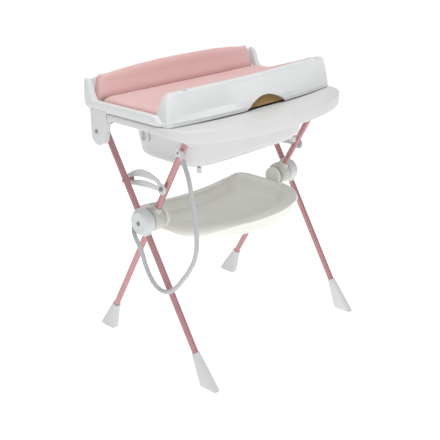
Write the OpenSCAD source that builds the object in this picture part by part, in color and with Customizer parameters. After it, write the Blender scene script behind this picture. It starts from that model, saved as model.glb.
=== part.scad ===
// Folding changing table: a bath tub and a storage tray on an X frame,
// with a padded changing top hinged at the back.
// Millimetres. X is the long side, -Y is the front, +Z is up, and the origin
// is on the floor under the middle of the four feet.

/* [Frame] */
// Height of the hub axis above the floor
hub_z = 500; // [490:1:500]
// Outer diameter of the leg tubes
tube_d = 22; // [20:0.5:22]
// Wall thickness of the leg tubes
tube_wall = 1.5; // [1:0.1:2.5]
// Lean of the outer legs from vertical, in degrees
outer_lean = 30.9; // [30.5:0.1:31]
// Lean of the inner legs from vertical, in degrees
inner_lean = 28.8; // [28.5:0.1:29]
// Distance from the middle to the outer tubes
outer_x = 373; // [372.5:0.5:373.5]
// Distance from the middle to the inner tubes
inner_x = 327; // [326.5:0.5:327.5]

/* [Feet] */
// Length of a foot from front to back
foot_len = 76; // [60:1:80]
// Width of a foot
foot_wide = 30; // [28:1:34]

/* [Bath] */
// Length of the bath rim
rim_len = 830; // [829:1:832]
// Height of the top of the rim
rim_z = 848; // [847:0.5:848]
// Depth of the bath under its rim
bath_depth = 163; // [140:1:165]
// Length of the bath bowl at the top
bath_len = 624; // [600:1:624]
// Wall thickness of the bath
bath_wall = 4; // [3:0.5:5]

/* [Changing top] */
// Length of the changing top
top_len = 824; // [823:1:826]
// Height of its underside
top_z = 855; // [855:0.5:857]
// Height of its front wall
front_wall_h = 88; // [80:1:96]
// Thickness of the floor pad
pad_h = 24; // [15:1:26]

/* [Storage tray] */
// Length of the storage tray
tray_len = 590; // [560:1:592]
// Depth of the storage tray
tray_depth = 58; // [50:1:60]

/* [Hose] */
// Outer diameter of the drain hose
hose_d = 15; // [14:0.5:15.5]

/* [Hidden] */

$fn = 48;
hull_fn = 32;
fit = 0.05;             // radial clearance of a pin that turns in its hole
gap = 0.3;              // air between bodies that only pass each other

tube_r = tube_d / 2;
hub_y = 17;             // the hub axis stands behind the middle of the feet
bolt_r = 5;
hub_r = 42;
outer_hub_in = 351.5;   // inner and outer faces of the outer hub half
outer_hub_out = 394;
inner_hub_in = 302;     // inner and outer faces of the inner hub half
inner_hub_out = 349;
latch_x = 350;          // middle plane of the latch plates
latch_t = 4;

outer_top_s = 349;      // end of the outer tube, measured up the leg from the hub
inner_top_s = 334;      // end of the inner tube, the same way
foot_h = 104;           // height of a foot's collar above the floor
sole_y = 283;           // middle of the front and rear soles, in front of and behind the origin

pivot = [183, 782];     // changing top's hinge, [y, z]
pivot_r = 4;
arm_in = 388;           // inner and outer faces of the hinge arms
arm_out = 412;
arm_r = 32.5;

white = [0.93, 0.94, 0.95];
bowl_white = [0.84, 0.85, 0.85];
pearl = [0.90, 0.89, 0.86];
rose = [0.78, 0.55, 0.56];
pink = [0.93, 0.73, 0.71];
steel = [0.70, 0.71, 0.73];
dark = [0.25, 0.25, 0.27];

// ---- shared placing helpers ----

// Puts its children on a leg: +Z runs up the tube and the hub is the origin.
module on_leg(x, lean) translate([x, hub_y, hub_z]) rotate([lean, 0, 0]) children();
module on_outer(side) on_leg(side * outer_x, -outer_lean) children();
module on_inner(side) on_leg(side * inner_x, inner_lean) children();

// A round bar along X from x0 to x1 about the line through [y, z].
module bar_x(x0, x1, at, r)
    translate([min(x0, x1), at[0], at[1]]) rotate([0, 90, 0]) cylinder(r = r, h = abs(x1 - x0));

// A flat plate in the YZ plane from x0 to x1, drawn as a [y, z] outline.
module plate_x(x0, x1)
    translate([min(x0, x1), 0, 0]) rotate([90, 0, 90]) linear_extrude(abs(x1 - x0)) children();

// How far down the leg the floor is.
function floor_s(lean) = hub_z / cos(lean);

// ---- legs and feet ----

module leg_tube(lean, top_s) {
    foot_s = floor_s(lean) - 40;
    difference() {
        translate([0, 0, -foot_s]) cylinder(r = tube_r, h = foot_s + top_s);
        translate([0, 0, -foot_s - 1]) cylinder(r = tube_r - tube_wall, h = foot_s + top_s + 2);
    }
}

// Tubes with cross holes for the hub bolt, the hinge and the latch.
module outer_leg(side) color(rose) difference() {
    on_outer(side) leg_tube(outer_lean, outer_top_s);
    bar_x(side * 355, side * 390, [hub_y, hub_z], bolt_r + fit);
    bar_x(side * 355, side * 390, pivot, pivot_r + fit);
    bar_x(side * 355, side * 390, latch_pin_at, latch_pin_r + fit);
}

module inner_leg(side) color(rose) difference() {
    on_inner(side) leg_tube(inner_lean, inner_top_s);
    bar_x(side * 310, side * 345, [hub_y, hub_z], bolt_r + fit);
    bar_x(side * 310, side * 345, latch_pivot_at, latch_pivot_r + fit);
}

module leg_cap(side) color(white) on_inner(side) {
    translate([0, 0, inner_top_s]) cylinder(r = tube_r, h = 2);
    translate([0, 0, inner_top_s - 14]) cylinder(r = tube_r - tube_wall - 0.05, h = 14);
}

// A foot flares along Y from a collar on the tube to a flat sole.
module foot(x, lean) {
    toe_y = sole_y * sign(lean);
    collar_s = floor_s(lean) - foot_h / cos(lean);
    color(white) difference() {
        union() {
            translate([x, toe_y, 0]) sole(4);
            hull() {
                translate([x, toe_y, 3]) sole(1, hull_fn);
                on_leg(x, lean) translate([0, 0, -collar_s - 4]) cylinder(r = tube_r + 2.5, h = 4, $fn = hull_fn);
            }
        }
        on_leg(x, lean) translate([0, 0, -floor_s(lean) + 40])
            cylinder(r = tube_r, h = floor_s(lean));
    }
}

module sole(h, n = 48) linear_extrude(h) {
    r = 8;
    square([foot_wide - 2 * r, foot_len], center = true);
    square([foot_wide, foot_len - 2 * r], center = true);
    for (sx = [-1, 1], sy = [-1, 1])
        translate([sx * (foot_wide / 2 - r), sy * (foot_len / 2 - r)]) circle(r = r, $fn = n);
}

// ---- hubs ----

// Rounded drum about the hub axis, its chamfer on the outer end.
module drum(x0, x1, r, round) translate([x0, hub_y, hub_z]) rotate([0, 90 * sign(x1 - x0), 0])
    rotate_extrude($fn = 64) polygon([
        [0, 0], [r, 0], [r, abs(x1 - x0) - round],
        for (a = [15 : 15 : 90]) [r - round + round * cos(a), abs(x1 - x0) - round + round * sin(a)],
        [0, abs(x1 - x0)]
    ]);

module outer_hub(side) color(white) difference() {
    drum(side * outer_hub_in, side * outer_hub_out, hub_r, 14);
    on_outer(side) cylinder(r = tube_r, h = 200, center = true);
    bar_x(side * 340, side * 400, [hub_y, hub_z], bolt_r);
    bar_x(side * (outer_hub_out - 3), side * 400, [hub_y, hub_z], 9);
}

module inner_hub(side) color(white) difference() {
    union() {
        drum(side * inner_hub_out, side * inner_hub_in, hub_r - 1, 10);
        if (side < 0) clip_arm();
    }
    on_inner(side) cylinder(r = tube_r, h = 200, center = true);
    bar_x(side * 290, side * 360, [hub_y, hub_z], bolt_r + fit);
}

// Bolt through both hub halves; its inner end carries the storage tray.
module hub_bolt(side) color(steel) {
    bar_x(side * 284, side * (outer_hub_out - 2), [hub_y, hub_z], bolt_r);
    bar_x(side * (outer_hub_out - 3), side * (outer_hub_out + 0.5), [hub_y, hub_z], 8);
}

// ---- latches ----

latch_pin_at = [93, 627];      // [y, z] of the pin on the outer leg
latch_pin_r = 5;
latch_pivot_at = [-52, 625];   // [y, z] of the pivot on the inner leg
latch_pivot_r = 4;
fold_max = 50;                 // full fold of the inner legs, in degrees
latch_ratio = 0.2;             // latch turn for each degree of fold
slot_r = latch_pin_r + 0.6;
slot_steps = 12;

function turn(v, a) = [v[0] * cos(a) - v[1] * sin(a), v[0] * sin(a) + v[1] * cos(a)];
function unit(v) = v / norm(v);
hub_at = [hub_y, hub_z];

// Where the outer leg's pin sits in the latch's own frame at a fold angle.
function pin_in_latch(fold) =
    latch_pivot_at + turn(hub_at + turn(latch_pin_at - hub_at, fold) - latch_pivot_at,
                          -latch_ratio * fold);
function slot_point(i) = pin_in_latch(fold_max * i / slot_steps);
function slot_dir(i) = unit(slot_point(i + 0.5) - slot_point(i - 0.5));
// Point at a distance to the left of the slot's centreline, seen along the fold.
function slot_side(i, d) = slot_point(i) + d * turn(slot_dir(i), 90);
function arc_end(c, dir, r) = [for (a = [-75 : 15 : 75]) c + r * turn(dir, a)];

module slot_outline(r) polygon(concat(
    [for (i = [0 : slot_steps]) slot_side(i, -r)],
    arc_end(slot_point(slot_steps), slot_dir(slot_steps), r),
    [for (i = [slot_steps : -1 : 0]) slot_side(i, r)],
    arc_end(slot_point(0), -slot_dir(0), r)
));

// Curved plate: a high crown above the slot and a narrower band below it.
module latch_outline() {
    polygon(concat(
        [for (i = [0 : slot_steps]) slot_side(i, -(20 + 11 * sin(180 * i / slot_steps)))],
        [for (i = [slot_steps : -1 : 0]) slot_side(i, 21 + 6 * sin(180 * i / slot_steps))]
    ));
    translate(latch_pivot_at) circle(r = 19);
    for (end = [0, slot_steps]) translate(slot_point(end)) circle(r = 20);
}

module latch(side) color(white) plate_x(side * (latch_x - latch_t / 2), side * (latch_x + latch_t / 2))
    difference() {
        latch_outline();
        slot_outline(slot_r);
        translate(latch_pivot_at) circle(r = latch_pivot_r + fit);
    }

// Pin on the outer leg, with a button head inside the latch plate.
module latch_pin(side) color(steel) {
    bar_x(side * 345.6, side * 388, latch_pin_at, latch_pin_r);
    bar_x(side * 344.4, side * 346.8, latch_pin_at, 8);
}

// Screw through the inner leg; its head holds the latch on the outboard side.
module latch_pivot(side) color(steel) {
    bar_x(side * 312, side * 354, latch_pivot_at, latch_pivot_r);
    bar_x(side * 353, side * 356, latch_pivot_at, 7);
}

// ---- bath tub ----

rim_rear = 203;
rim_ends_front = -138;  // where the rim's bowed front begins
rim_bow = 160;
skirt_t = 5;
deck_t = 8;
bowl_y = 7;             // middle of the bowl
bowl_half = [bath_len / 2, 158];
notch_y = 124;          // the rim steps in behind this line for the hinge arms
notch_x = 383;

// Half ellipse in front of a straight-sided rear, inset by d all round.
module rim_outline(d = 0) {
    a = rim_len / 2 - d;
    polygon(concat(
        [[a, notch_y], [notch_x - d, notch_y], [notch_x - d, rim_rear - d],
         [-notch_x + d, rim_rear - d], [-notch_x + d, notch_y], [-a, notch_y]],
        [for (t = [180 : 6 : 360]) [a * cos(t), rim_ends_front + (rim_bow - d) * sin(t)]]
    ));
}

// Rounded rectangle whose corners are a superellipse.
module soft_rect(half, n = 5) polygon([
    for (t = [0 : 5 : 355])
        [half[0] * sign(cos(t)) * pow(abs(cos(t)), 2 / n),
         half[1] * sign(sin(t)) * pow(abs(sin(t)), 2 / n)]
]);

// Bowl-shaped solid that widens upward to half size `half` at the rim.
module bowl_solid(half, z0, z1, narrow)
    translate([0, bowl_y, z0]) linear_extrude(z1 - z0, scale = 1 / narrow)
        soft_rect(half * narrow);

module bath_tub() color(bowl_white) difference() {
    union() {
        translate([0, 0, rim_z - deck_t]) linear_extrude(deck_t) rim_outline();
        difference() {
            translate([0, 0, rim_z - 40]) linear_extrude(40) rim_outline();
            translate([0, 0, rim_z - 41]) linear_extrude(42) rim_outline(skirt_t);
            translate([-500, -150, rim_z - 41]) cube([1000, 500, 23]);
        }
        bowl_solid(bowl_half, rim_z - bath_depth, rim_z - 1, 0.93);
    }
    bowl_solid(bowl_half - [bath_wall, bath_wall], rim_z - bath_depth + bath_wall, rim_z + 1, 0.93);
    translate([drain_at[0], drain_at[1], rim_z - bath_depth - 5]) cylinder(r = drain_r, h = 20);
}

module tub_feet() color(bowl_white)
    for (side = [-1, 1], at = [[240, -112], [185, 100]])
        translate([side * at[0], at[1], rim_z - bath_depth - 17]) cylinder(r = 8.5, h = 17);

// U-shaped hook on the bowl's left end wall for hanging the hose up.
module hose_hook() color(bowl_white) {
    hook_x = -309.5;
    hook_y = 67;
    hook_z = 766;
    translate([hook_x, hook_y, hook_z]) rotate([90, 0, 90]) rotate_extrude(angle = -180, $fn = 64)
        translate([15, 0]) circle(r = 5, $fn = 32);
    for (s = [-1, 1])
        translate([hook_x, hook_y + s * 15, hook_z]) cylinder(r = 5, h = 22);
    bar_x(-300.5, hook_x, [hook_y, hook_z - 15], 5);
}

// Socket over the end of an outer tube that carries the back of the bath.
module tub_socket(side) color(white) difference() {
    union() {
        on_outer(side) translate([0, 0, 337]) cylinder(r = tube_r + 2.3, h = 15);
        bar = [17, rim_rear - 8 - 180, rim_z - deck_t - 800];
        translate([side > 0 ? 360 : -360 - bar[0], 180, 800]) cube(bar);
    }
    on_outer(side) translate([0, 0, outer_top_s - 60]) cylinder(r = tube_r, h = 60);
}

// Block under the deck with a round underside that the inner tube stops at.
module front_rest(side) color(white) difference() {
    translate([side * inner_x - 10, -170, 784]) cube([20, 66, rim_z - deck_t - 784]);
    bar_x(side * 310, side * 345, hub_at, inner_top_s + 4);
}

module rear_crossbar() color(steel) bar_x(-350, 350, [193, 800], 8);

drain_at = [-200, 7];
drain_r = 16;

module drain_fitting() color(white) {
    floor_z = rim_z - bath_depth;
    translate([drain_at[0], drain_at[1], 0]) difference() {
        union() {
            translate([0, 0, floor_z - 26]) cylinder(r = drain_r, h = 26 + bath_wall);
            translate([0, 0, floor_z + bath_wall]) cylinder(r = 22, h = 2);
        }
        translate([0, 0, floor_z - 27]) cylinder(r = 10, h = 40);
        translate([0, 0, floor_z - 4]) cylinder(r = 12.5, h = 20);
    }
}

module drain_gasket() color(dark)
    translate([drain_at[0], drain_at[1], rim_z - bath_depth - 3]) difference() {
        cylinder(r = 22, h = 3);
        translate([0, 0, -1]) cylinder(r = drain_r, h = 5);
    }

module drain_plug() color(white) translate([drain_at[0], drain_at[1], rim_z - bath_depth]) {
    translate([0, 0, -3]) cylinder(r = 12.4, h = 10);
    translate([0, 0, 6.1]) cylinder(r = 17, h = 2.5);
    translate([0, 0, 8.6]) cylinder(r = 4, h = 9);
    translate([0, 0, 20]) sphere(r = 6);
}

// ---- hose and its fittings ----

// Route of the hose from the nozzle's end round the front of the left legs to the
// clip behind the hub.
route = [
    [-349, -150, 744], [-351, -160, 726], [-356, -182, 690], [-366, -203, 645],
    [-378, -226, 600], [-390, -246, 555], [-397, -255, 510], [-400, -250, 465],
    [-402, -230, 420], [-402, -196, 372], [-402, -158, 328], [-402, -124, 305],
    [-402, -90, 301], [-402, -60, 315], [-402, -36, 342], [-402, -19, 374],
    [-402, -7, 405], [-401, 8, 429], [-397, 26, 445], [-387, 47, 457],
    [-370, 67, 470], [-352, 78, 483], [-336, 80, 489]
];
hose_end = route[len(route) - 1];
hose_sides = 12;
hose_steps = 3;         // rings between two route points

// Catmull-Rom curve through the route.
function route_at(i) = route[max(0, min(len(route) - 1, i))];
function spline(i, t) = let (a = route_at(i - 1), b = route_at(i), c = route_at(i + 1), d = route_at(i + 2))
    0.5 * (2 * b + (c - a) * t + (2 * a - 5 * b + 4 * c - d) * t * t + (3 * b - a - 3 * c + d) * t * t * t);
hose_line = concat(
    [for (i = [0 : len(route) - 2], s = [0 : hose_steps - 1]) spline(i, s / hose_steps)],
    [hose_end]
);
function line_dir(i) = unit(hose_line[min(len(hose_line) - 1, i + 1)] - hose_line[max(0, i - 1)]);
// The ring's first axis is kept square to the line without twisting it.
function ring_axis(i) = i == 0 ? unit(cross(line_dir(0), [0, 1, 0]))
    : let (u = ring_axis(i - 1), d = line_dir(i)) unit(u - (u * d) * d);
function ring(i) = let (d = line_dir(i), u = ring_axis(i), v = cross(d, u))
    [for (k = [0 : hose_sides - 1]) let (a = 360 * k / hose_sides)
        hose_line[i] + hose_d / 2 * (u * cos(a) + v * sin(a))];

module hose() color(white) {
    last = len(hose_line) - 1;
    points = [for (i = [0 : last]) each ring(i)];
    polyhedron(
        points = points,
        faces = concat(
            [[for (k = [hose_sides - 1 : -1 : 0]) k]],
            [for (i = [0 : last - 1], k = [0 : hose_sides - 1])
                let (a = i * hose_sides + k, b = i * hose_sides + (k + 1) % hose_sides)
                    [a, b, b + hose_sides, a + hose_sides]],
            [[for (k = [0 : hose_sides - 1]) last * hose_sides + k]]
        ),
        convexity = 8
    );
}

// Turns its children so that +Z points along v, and moves them to p.
module aim(p, v) translate(p)
    rotate([0, acos(v[2] / norm(v)), atan2(v[1], v[0])]) children();

eyelet_at = [-116 - 8, 758];      // [y, z] of the eyelet on the inner leg
nozzle_dir = route[0] - route[1];

// Ring screwed to the outboard side of the left inner leg.
module hose_eyelet() color(white) difference() {
    union() {
        bar_x(-338, -344, eyelet_at, 13);
        aim(route[0] + 13 * unit(nozzle_dir), nozzle_dir) cylinder(r = 8, h = 9);
    }
    aim(route[0] - 2 * unit(nozzle_dir), nozzle_dir) cylinder(r = 6, h = 60);
    bar_x(-330, -350, eyelet_at, 4);
}

// Tapered end that steps down from the hose's bore.
module hose_nozzle() color(white) aim(route[0], nozzle_dir) {
    cylinder(r1 = hose_d / 2, r2 = 6, h = 12, $fn = 32);
    translate([0, 0, 12]) cylinder(r = 6, h = 14);
}

clip_meet_y = 67.5;     // where the clip meets its arm

// Cuff on the hose's other end, pushed into the clip.
module hose_connector() color(white)
    bar_x(hose_end[0], -306, [hose_end[1], hose_end[2]], hose_d / 2);

// Arm behind the left inner hub that holds the clip.
module clip_arm() translate([-330, hub_y + 30, hose_end[2] - 6])
    cube([14, clip_meet_y - hub_y - 30, 12]);

module hose_clip() color(white) difference() {
    bar_x(-331, -315, [hose_end[1], hose_end[2]], hose_d / 2 + 5.5);
    bar_x(-340, -310, [hose_end[1], hose_end[2]], hose_d / 2);
    translate([-340, hub_y + 20, hose_end[2] - 15]) cube([30, clip_meet_y - hub_y - 20, 30]);
}

// ---- storage tray ----

tray_rim_z = 485;
tray_waist = 143;       // y of the rear edge in the middle
tray_rear = 187;        // y of the rear corners
tray_side_front = -33;  // y where the bowed front begins
tray_bow = 190;

// Bowed front, straight ends, and a rear edge that curves in at the waist.
module tray_outline(grow = 0) {
    a = tray_len / 2 + grow;
    corner_x = a - 30;
    polygon(concat(
        [for (t = [180 : 6 : 360]) [a * cos(t), tray_side_front + (tray_bow + grow) * sin(t)]],
        [for (t = [0 : 15 : 90]) [corner_x + 30 * cos(t), tray_rear - 30 + grow + 30 * sin(t)]],
        [for (u = [0.8 : -0.2 : -0.8])
            [corner_x * u, tray_waist + grow + (tray_rear - tray_waist) * u * u]],
        [for (t = [90 : 15 : 180]) [-corner_x + 30 * cos(t), tray_rear - 30 + grow + 30 * sin(t)]]
    ));
}

module storage_tray() color(pearl) difference() {
    union() {
        tray_floor_z = tray_rim_z - tray_depth;
        difference() {
            translate([0, 0, tray_floor_z]) linear_extrude(tray_depth, scale = 1 / 0.86)
                scale(0.86) tray_outline(0);
            translate([0, 0, tray_floor_z + 3]) linear_extrude(tray_depth, scale = 1 / 0.86)
                scale(0.86) tray_outline(-5);
        }
        for (side = [-1, 1]) {
            bar_x(side * 281, side * 297, hub_at, 17);
            translate([side * 289 - 8, hub_y - 17, tray_rim_z - 18]) cube([16, 34, 33]);
        }
    }
    for (side = [-1, 1]) bar_x(side * 283.5, side * 300, hub_at, bolt_r + fit);
}

// ---- changing top ----

top_half = top_len / 2;
top_rear = 242;
rear_wall_y = 234;      // front face of the rear wall
post_x = 387;           // inner faces of the raked posts at the back corners
pad_half = 392;         // half the floor pad's length
top_front = -148;       // y of the front edge at the ends of the front wall
top_bow = 25;
lip_z = top_z + 25;
floor_t = 7;
wall_top_z = top_z + front_wall_h;
pad_z = top_z + floor_t;
arch_rise = 28;         // the rear wall stands this much higher in its middle

// Height of the rear wall's top edge above its ends, as an arch in X.
function arch(x) = arch_rise * (1 - pow(x / top_half, 2));

module top_outline(d = 0) polygon(concat(
    [[top_half - d, top_rear - d], [-top_half + d, top_rear - d],
     [-top_half + d, -118], [-396, -136 + d]],
    [for (u = [-1 : 0.2 : 1]) [360 * u, top_front - top_bow * (1 - u * u) + d]],
    [[396, -136 + d], [top_half - d, -118]]
));

// Ridge along the front: bowed foot, straight top, sloped ends.
module front_ridge(d) hull() {
    translate([0, 0, top_z + (d > 0 ? -1 : 0)]) linear_extrude(1) polygon(concat(
        [[400 - d, -82 - d], [-400 + d, -82 - d], [-400 + d, -128 + d]],
        [for (u = [-1 : 0.2 : 1]) [380 * u, top_front + 2 - top_bow * (1 - u * u) + d]],
        [[400 - d, -128 + d]]
    ));
    translate([0, 0, wall_top_z - 1 - d]) linear_extrude(1) polygon([
        [374 - d, -94 - d / 2], [-374 + d, -94 - d / 2], [-374 + d, -116 + d / 2], [374 - d, -116 + d / 2]
    ]);
}

module rear_arch(z0, z1, x_half) rotate([90, 0, 0]) translate([0, 0, -300]) linear_extrude(200) polygon(concat(
    [[x_half, z0], [-x_half, z0]],
    [for (u = [-1 : 0.125 : 1]) [x_half * u, z1 + arch(x_half * u)]]
));

module changer_tray() color(white) difference() {
    union() {
        translate([0, 0, top_z]) linear_extrude(floor_t) top_outline();
        difference() {
            translate([0, 0, top_z]) linear_extrude(lip_z - top_z) top_outline();
            translate([0, 0, top_z - 1]) linear_extrude(lip_z) top_outline(8);
            translate([-395, -130, pad_z]) cube([790, 80, 60]);
        }
        front_ridge(0);
        intersection() {
            translate([-top_half, rear_wall_y, top_z]) cube([top_len, top_rear - rear_wall_y, 200]);
            rear_arch(top_z, 940, top_half);
        }
        for (side = [-1, 1]) plate_x(side * post_x, side * top_half)
            polygon([[172, pad_z], [199, lip_z + 8], [218, 944], [top_rear, 944], [top_rear, pad_z]]);
    }
    front_ridge(5);
    bar_y(30, 686, 199, -200, -100);
}

// A round bar along Y about [x, z].
module bar_y(x, z, r, y0, y1) translate([x, y1, z]) rotate([90, 0, 0]) cylinder(r = r, h = y1 - y0, $fn = 180);

module hinge_arm(side) color(white) difference() {
    union() {
        bar_x(side * arm_in, side * arm_out, [178, 768.5], arm_r);
        plate_x(side * arm_in, side * arm_out)
            polygon([[145.5, 768.5], [210.5, 768.5], [211, top_z], [128, top_z], [133, 830]]);
    }
    bar_x(side * 380, side * 420, pivot, pivot_r + fit);
}

// Pin of the changing top's hinge, fixed in the outer tube.
module hinge_screw(side) color(steel) {
    bar_x(side * 364, side * (arm_out + 1), pivot, pivot_r);
    bar_x(side * (arm_out + gap), side * (arm_out + 2.8), pivot, 6);
}

// Rubber buffers that the changing top rests on the rim with.
module rest_buffers() color(dark)
    for (x = [-340, 340], y = [-100, 140])
        translate([x, y, rim_z + gap]) cylinder(r = 9, h = top_z - rim_z - gap);

// ---- pads ----

module pad_floor() color(pink) difference() {
    translate([-pad_half, -78, pad_z]) cube([2 * pad_half, 282, pad_h]);
    for (side = [-1, 1]) plate_x(side * (post_x - 0.5), side * 420)
        polygon([[168, pad_z - 1], [200, lip_z + 20], [300, lip_z + 20], [300, pad_z - 1]]);
}

// Wedge-shaped bolster along the back, higher in the middle.
module pad_rear() color(pink) intersection() {
    plate_x(-post_x + 1, post_x - 1)
        polygon([[204.5, pad_z], [204.5, pad_z + pad_h], [218, 990], [rear_wall_y, 990], [rear_wall_y, pad_z]]);
    rear_arch(top_z, 946, 401);
}

// Bolster against the front wall's inner face.
module pad_front() color(pink) plate_x(-368, 368)
    polygon([[-78.5, pad_z], [-78.5, pad_z + pad_h], [-84, 950], [-92, 958], [-93.5, wall_top_z], [-82, pad_z]]);

outer_leg(-1);  // outer_leg_left
outer_leg(1);  // outer_leg_right
foot(-outer_x, -outer_lean);  // front_foot_left
foot(outer_x, -outer_lean);  // front_foot_right
outer_hub(-1);  // outer_hub_left
outer_hub(1);  // outer_hub_right
hub_bolt(-1);  // hub_bolt_left
hub_bolt(1);  // hub_bolt_right
latch_pin(-1);  // latch_pin_left
latch_pin(1);  // latch_pin_right
tub_socket(-1);  // tub_socket_left
tub_socket(1);  // tub_socket_right
hinge_screw(-1);  // hinge_screw_left
hinge_screw(1);  // hinge_screw_right
rear_crossbar();
bath_tub();
tub_feet();
hose_hook();
front_rest(-1);  // front_rest_left
front_rest(1);  // front_rest_right
drain_fitting();
drain_gasket();
drain_plug();
inner_leg(-1);  // inner_leg_left
inner_leg(1);  // inner_leg_right
leg_cap(-1);  // leg_cap_left
leg_cap(1);  // leg_cap_right
foot(-inner_x, inner_lean);  // rear_foot_left
foot(inner_x, inner_lean);  // rear_foot_right
inner_hub(-1);  // inner_hub_left
inner_hub(1);  // inner_hub_right
latch_pivot(-1);  // latch_pivot_left
latch_pivot(1);  // latch_pivot_right
latch(-1);  // latch_left
latch(1);  // latch_right
hose_eyelet();
hose_clip();
hose();
hose_nozzle();
hose_connector();
storage_tray();
changer_tray();
hinge_arm(-1);  // hinge_arm_left
hinge_arm(1);  // hinge_arm_right
rest_buffers();
pad_floor();
pad_rear();
pad_front();
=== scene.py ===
import math

import bmesh
import bpy
from mathutils import Matrix, Vector


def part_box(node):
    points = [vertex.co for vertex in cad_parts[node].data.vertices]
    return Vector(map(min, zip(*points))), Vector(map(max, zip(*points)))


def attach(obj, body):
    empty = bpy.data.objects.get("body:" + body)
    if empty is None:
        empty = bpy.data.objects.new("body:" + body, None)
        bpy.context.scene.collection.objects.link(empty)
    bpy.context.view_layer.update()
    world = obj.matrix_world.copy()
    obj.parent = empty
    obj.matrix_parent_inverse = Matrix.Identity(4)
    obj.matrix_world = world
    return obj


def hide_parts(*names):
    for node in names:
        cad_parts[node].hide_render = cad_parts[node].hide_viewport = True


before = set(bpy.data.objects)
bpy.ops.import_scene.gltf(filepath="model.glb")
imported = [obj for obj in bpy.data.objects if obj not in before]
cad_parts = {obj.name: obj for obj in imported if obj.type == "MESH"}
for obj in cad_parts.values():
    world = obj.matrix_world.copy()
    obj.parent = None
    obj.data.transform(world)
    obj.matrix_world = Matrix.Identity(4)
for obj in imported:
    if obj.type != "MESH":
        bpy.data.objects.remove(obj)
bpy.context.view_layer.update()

# ---- Studio ----
# A white floor, a white room and three soft lamps. The camera stands in front
# of the left end, a little above the changing top.
bpy.ops.object.select_all(action="DESELECT")

bpy.ops.object.camera_add(
    location=(-1.9587, -1.8245, 1.4828),
    rotation=(math.radians(90 - 21.974), 0, math.radians(-46.671)),
)
camera = bpy.context.object
camera.data.lens = 65.38
camera.data.sensor_width = 36
bpy.context.scene.camera = camera


def new_material(name):
    """An empty material with its node tree and its main shader."""
    material = bpy.data.materials.new(name)
    material.use_nodes = True
    return material, material.node_tree, material.node_tree.nodes["Principled BSDF"]


bpy.ops.mesh.primitive_plane_add(size=30, location=(0, 0, 0))
floor = bpy.context.object
floor.name = "studio_floor"
floor_paint, _, floor_shader = new_material("floor_paint")
floor_shader.inputs["Base Color"].default_value = (0.93, 0.93, 0.93, 1)
floor_shader.inputs["Roughness"].default_value = 0.9
floor_shader.inputs["Emission Color"].default_value = (1, 1, 1, 1)
floor_shader.inputs["Emission Strength"].default_value = 0.60
floor.data.materials.append(floor_paint)

room = bpy.data.worlds.new("white_room")
bpy.context.scene.world = room
room.use_nodes = True
room.node_tree.nodes["Background"].inputs["Color"].default_value = (1, 1, 1, 1)
room.node_tree.nodes["Background"].inputs["Strength"].default_value = 0.45
bpy.context.scene.view_settings.view_transform = "Standard"


def add_lamp(name, place, size, power):
    """A square soft lamp that looks at the middle of the table."""
    aim = Vector((0, 0, 0.6)) - Vector(place)
    bpy.ops.object.light_add(type="AREA", location=place, rotation=aim.to_track_quat("-Z", "Y").to_euler())
    lamp = bpy.context.object
    lamp.name = name
    lamp.data.size = size
    lamp.data.energy = power


add_lamp("lamp_key", (-0.4, -0.7, 3.6), 1.3, 42)
add_lamp("lamp_front", (-1.4, -2.6, 1.5), 1.2, 7)
add_lamp("lamp_back", (1.2, 2.2, 3.0), 1.6, 8)

# ---- Drain hose ----
# A soft white vinyl tube, drawn as one piece. Its nozzle hangs in an eyelet on
# the left inner leg, and its cuff is parked in a clip behind the left hub.
hose_diameter = 0.015
hose_route = [
    (-0.349, -0.150, 0.744), (-0.351, -0.160, 0.726), (-0.356, -0.182, 0.690), (-0.366, -0.203, 0.645),
    (-0.378, -0.226, 0.600), (-0.390, -0.246, 0.555), (-0.397, -0.255, 0.510), (-0.400, -0.250, 0.465),
    (-0.402, -0.230, 0.420), (-0.402, -0.196, 0.372), (-0.402, -0.158, 0.328), (-0.402, -0.124, 0.305),
    (-0.402, -0.090, 0.301), (-0.402, -0.060, 0.315), (-0.402, -0.036, 0.342), (-0.402, -0.019, 0.374),
    (-0.402, -0.007, 0.405), (-0.401, 0.008, 0.429), (-0.397, 0.026, 0.445), (-0.387, 0.047, 0.457),
    (-0.370, 0.067, 0.470), (-0.352, 0.078, 0.483), (-0.336, 0.080, 0.489),
]


def node(tree, kind, inputs=None, **settings):
    """A shader node with its settings; an input is a value or another node's socket."""
    made = tree.nodes.new(kind)
    for key, value in settings.items():
        setattr(made, key, value)
    for key, value in (inputs or {}).items():
        if isinstance(value, bpy.types.NodeSocket):
            tree.links.new(value, made.inputs[key])
        else:
            made.inputs[key].default_value = value
    return made


def new_group(name, inputs, outputs):
    """An empty node group with named sockets; inputs and outputs map a name to its socket type."""
    group = bpy.data.node_groups.new(name, "ShaderNodeTree")
    for label, kind in inputs.items():
        group.interface.new_socket(name=label, in_out="INPUT", socket_type=kind)
    for label, kind in outputs.items():
        group.interface.new_socket(name=label, in_out="OUTPUT", socket_type=kind)
    return group, group.nodes.new("NodeGroupInput").outputs, group.nodes.new("NodeGroupOutput").inputs


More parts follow.
